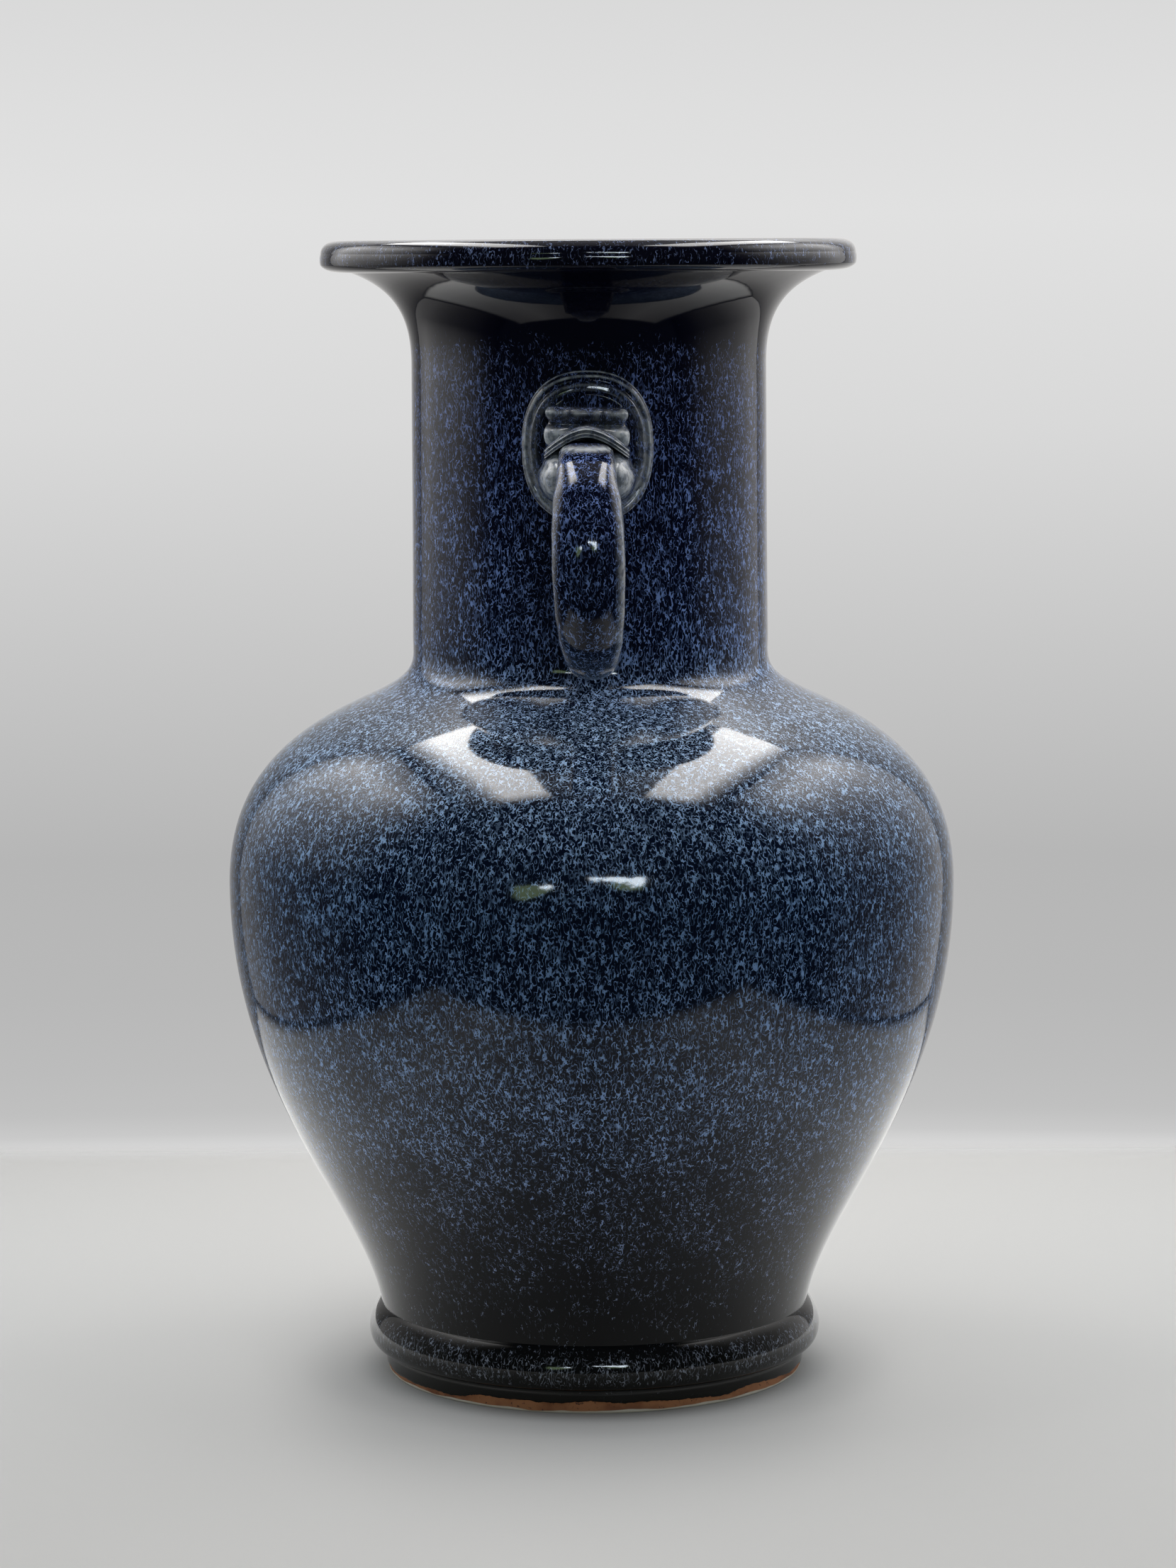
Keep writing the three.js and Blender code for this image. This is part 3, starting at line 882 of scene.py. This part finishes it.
def window(sky_sill, leaf_sill):
    """A far window: a bright ragged strip of sky over green leaves, each down to its own sill
    across the panel, fading out at the edges."""
    def build(tree):
        place = on_piece(tree)
        parts = parts_of(tree, place)
        waver = math_node(tree, "MULTIPLY_ADD", noise(tree, place, 7.0, 2.0), 0.36, -0.18)
        sideways = math_node(tree, "ADD", math_node(tree, "ADD", parts["X"], 0.5), waver)
        upwards = math_node(tree, "ADD", math_node(tree, "ADD", parts["Y"], 0.5), waver)
        sky_foot = ramp(tree, sideways, sky_sill)
        leaf_foot = ramp(tree, sideways, leaf_sill)
        sky = between(tree, math_node(tree, "SUBTRACT", upwards, sky_foot), 0.0, 0.04)
        leaf = between(tree, math_node(tree, "SUBTRACT", upwards, leaf_foot), 0.0, 0.10)
        left_edge = between(tree, sideways, 0.02, 0.10)
        right_edge = between(tree, sideways, 0.98, 0.90)
        inside = math_node(tree, "MULTIPLY", left_edge, right_edge)
        inside = math_node(tree, "MULTIPLY", inside, between(tree, upwards, 1.0, 0.94))
        colour = blend_colour(tree, sky, LEAF_GREEN, SKY_WHITE)
        strength = math_node(tree, "MULTIPLY", inside, math_node(tree, "MAXIMUM", sky, leaf))
        return node(tree, "ShaderNodeEmission", {"Color": colour, "Strength": strength})
    return build


UP_FACING = (0, 0, 0)
TO_BACK = (math.pi / 2, 0, 0)
TO_SIDE = (math.pi / 2, 0, math.pi / 2)
stage_panel("floor", (0, 0, 0), (2 * TENT_HALF, 2 * TENT_HALF), UP_FACING, floor_shader)

STRIP_SPLAY = math.radians(8)
STRIP_LONG = 0.66
OUTER_FADE = ((0, 0), (0.20, 0.30), (0.42, 1), (0.97, 1), (1, 0))
INNER_FADE = ((0, 0), (0.03, 1), (0.58, 1), (0.80, 0.30), (1, 0))
SOFT_FRONT = ((0, 0), (0.10, 1), (1, 1))
light("left_strip", (-0.240, 0.06, TENT_HEIGHT), (0.20, STRIP_LONG), (0, 0, STRIP_SPLAY),
      glow(OUTER_FADE, SOFT_FRONT, 13))
light("right_strip", (0.282, 0.06, TENT_HEIGHT), (0.21, STRIP_LONG), (0, 0, -STRIP_SPLAY),
      glow(INNER_FADE, SOFT_FRONT, 12))

CEILING_ACROSS = (
    (0, 0), (0.03, 0.1), (0.05, 0.45), (0.2, 0.8), (0.38, 0.28), (0.62, 0.28), (0.8, 1.0), (0.95, 0.7),
    (0.97, 0.1), (1, 0),
)
CEILING_ALONG = ((0, 0.1), (0.25, 1), (1, 1))
light("ceiling", (0, 0.04, TENT_HEIGHT + 0.01), (2 * TENT_HALF, 0.68), UP_FACING,
      glow(CEILING_ACROSS, CEILING_ALONG, 1.8))

WALL_LONG = 0.66
WALL_FORWARD = 0.06
WALL_ACROSS = ((0, 0), (0.12, 0.10), (0.40, 1.0), (0.78, 0.9), (0.92, 0.3), (1, 0.2))
LEFT_WALL_UP = (
    (0, 0), (0.25, 0), (0.37, 0.12), (0.47, 0.22), (0.58, 0.50), (0.76, 1.0), (0.88, 0.5), (0.98, 0.25),
    (1, 0),
)
RIGHT_WALL_UP = (
    (0, 0), (0.25, 0), (0.37, 0.06), (0.47, 0.12), (0.58, 0.35), (0.76, 1.0), (0.88, 0.7), (0.98, 0.4),
    (1, 0),
)
LEFT_WALL_LEVEL = ((0, 0), (0.15, 0.03), (0.45, 0.20), (0.75, 0.42), (1, 0.44))
RIGHT_WALL_LEVEL = ((0, 0), (0.15, 0.03), (0.45, 0.26), (0.75, 0.70), (1, 0.90))
light("left_wall", (-TENT_HALF, WALL_FORWARD, TENT_HEIGHT / 2), (WALL_LONG, TENT_HEIGHT), TO_SIDE,
      glow(WALL_ACROSS, LEFT_WALL_UP, 4.8, LEFT_WALL_LEVEL))
light("right_wall", (TENT_HALF, WALL_FORWARD, TENT_HEIGHT / 2), (WALL_LONG, TENT_HEIGHT), TO_SIDE,
      glow(WALL_ACROSS, RIGHT_WALL_UP, 5.0, RIGHT_WALL_LEVEL))

BACK_WALL_ACROSS = ((0, 0.25), (0.25, 0.65), (0.35, 1), (0.65, 1), (0.75, 1), (1, 0.5))
BACK_WALL_UP = ((0, 0.15), (0.4, 0.19), (0.7, 0.35), (1, 1))
light("back_wall", (0, TENT_HALF, TENT_HEIGHT / 2), (2 * TENT_HALF, TENT_HEIGHT), TO_BACK,
      glow(BACK_WALL_ACROSS, BACK_WALL_UP, 3.5))

WINDOW_AWAY = -3.0
light("window_left", (-0.95, WINDOW_AWAY, 0.70), (0.76, 0.56), TO_BACK, window(
    ((0, 1), (0.62, 0.95), (0.75, 0.78), (1, 0.74)),
    ((0, 0.35), (0.3, 0.1), (0.7, 0.4), (1, 0.74)),
))
light("window_right", (0.45, WINDOW_AWAY, 0.92), (1.06, 0.62), TO_BACK, window(
    ((0, 0.86), (0.2, 0.80), (0.6, 0.66), (0.85, 0.45), (1, 0.9)),
    ((0, 0.86), (0.35, 0.80), (0.5, 0.28), (0.9, 0.30), (1, 0.9)),
))

# Cool light off the tent's sides, which falls on the glaze but isn't mirrored in it.
EVEN = ((0, 1), (1, 1))
COOL_WHITE = (0.80, 0.91, 1.0)
BOUNCE_ASIDE = 0.385
for side in (-1, 1):
    bounce = light(f"side_bounce_{side + 1}", (side * BOUNCE_ASIDE, 0.07, 0.27), (0.50, 0.50), TO_SIDE,
                   glow(EVEN, EVEN, 1.1, tint=COOL_WHITE))
    bounce.visible_glossy = False


# ---- Room and camera -------------------------------------------------------------------------
# The paper behind the tent is seen as an even pale grey, brightest where it meets the floor and
# near the top. The camera stands level with the lip and looks a little down.
BACKDROP = (
    (-0.300, 0.690), (-0.199, 0.690), (-0.197, 0.665), (-0.195, 0.590), (-0.190, 0.527), (-0.181, 0.503),
    (-0.165, 0.480), (-0.135, 0.468), (-0.088, 0.575), (-0.041, 0.693), (0.005, 0.752), (0.029, 0.730),
    (0.050, 0.700),
)
DARK_ROOM = (0.022, 0.026, 0.034, 1)
world = bpy.data.worlds.new("room")
bpy.context.scene.world = world
world.use_nodes = True
room = world.node_tree
room.nodes.clear()
direction = node(room, "ShaderNodeTexCoord").outputs["Generated"]
low, high = BACKDROP[0][0], BACKDROP[-1][0]
climb = between(room, parts_of(room, direction)["Z"], low, high, smooth=False)
greys = [((sine - low) / (high - low), grey) for sine, grey in BACKDROP]
backdrop = node(room, "ShaderNodeBackground", {"Color": ramp(room, climb, greys)})
dark = node(room, "ShaderNodeBackground", {"Color": DARK_ROOM})
both = node(room, "ShaderNodeMixShader", {"Fac": node(room, "ShaderNodeLightPath").outputs["Is Camera Ray"]})
room.links.new(dark.outputs[0], both.inputs[1])
room.links.new(backdrop.outputs[0], both.inputs[2])
shown = node(room, "ShaderNodeOutputWorld")
room.links.new(both.outputs[0], shown.inputs["Surface"])

CAMERA_BACK = 1.5882
CAMERA_HEIGHT = 0.4005
CAMERA_ASIDE = 0.015
LOOK_DOWN = math.radians(6.885)
LOOK_ASIDE = math.atan2(CAMERA_ASIDE, CAMERA_BACK)
CAMERA_ROLL = math.radians(0.346)
camera_data = bpy.data.cameras.new("camera")
camera_data.lens = 103.92
camera_data.sensor_width = 36
camera = bpy.data.objects.new("camera", camera_data)
bpy.context.scene.collection.objects.link(camera)
camera.rotation_mode = "XYZ"
camera.location = (CAMERA_ASIDE, -CAMERA_BACK, CAMERA_HEIGHT)
camera.rotation_euler = (math.pi / 2 - LOOK_DOWN, CAMERA_ROLL, LOOK_ASIDE)
bpy.context.scene.camera = camera
bpy.context.scene.view_settings.view_transform = "Standard"
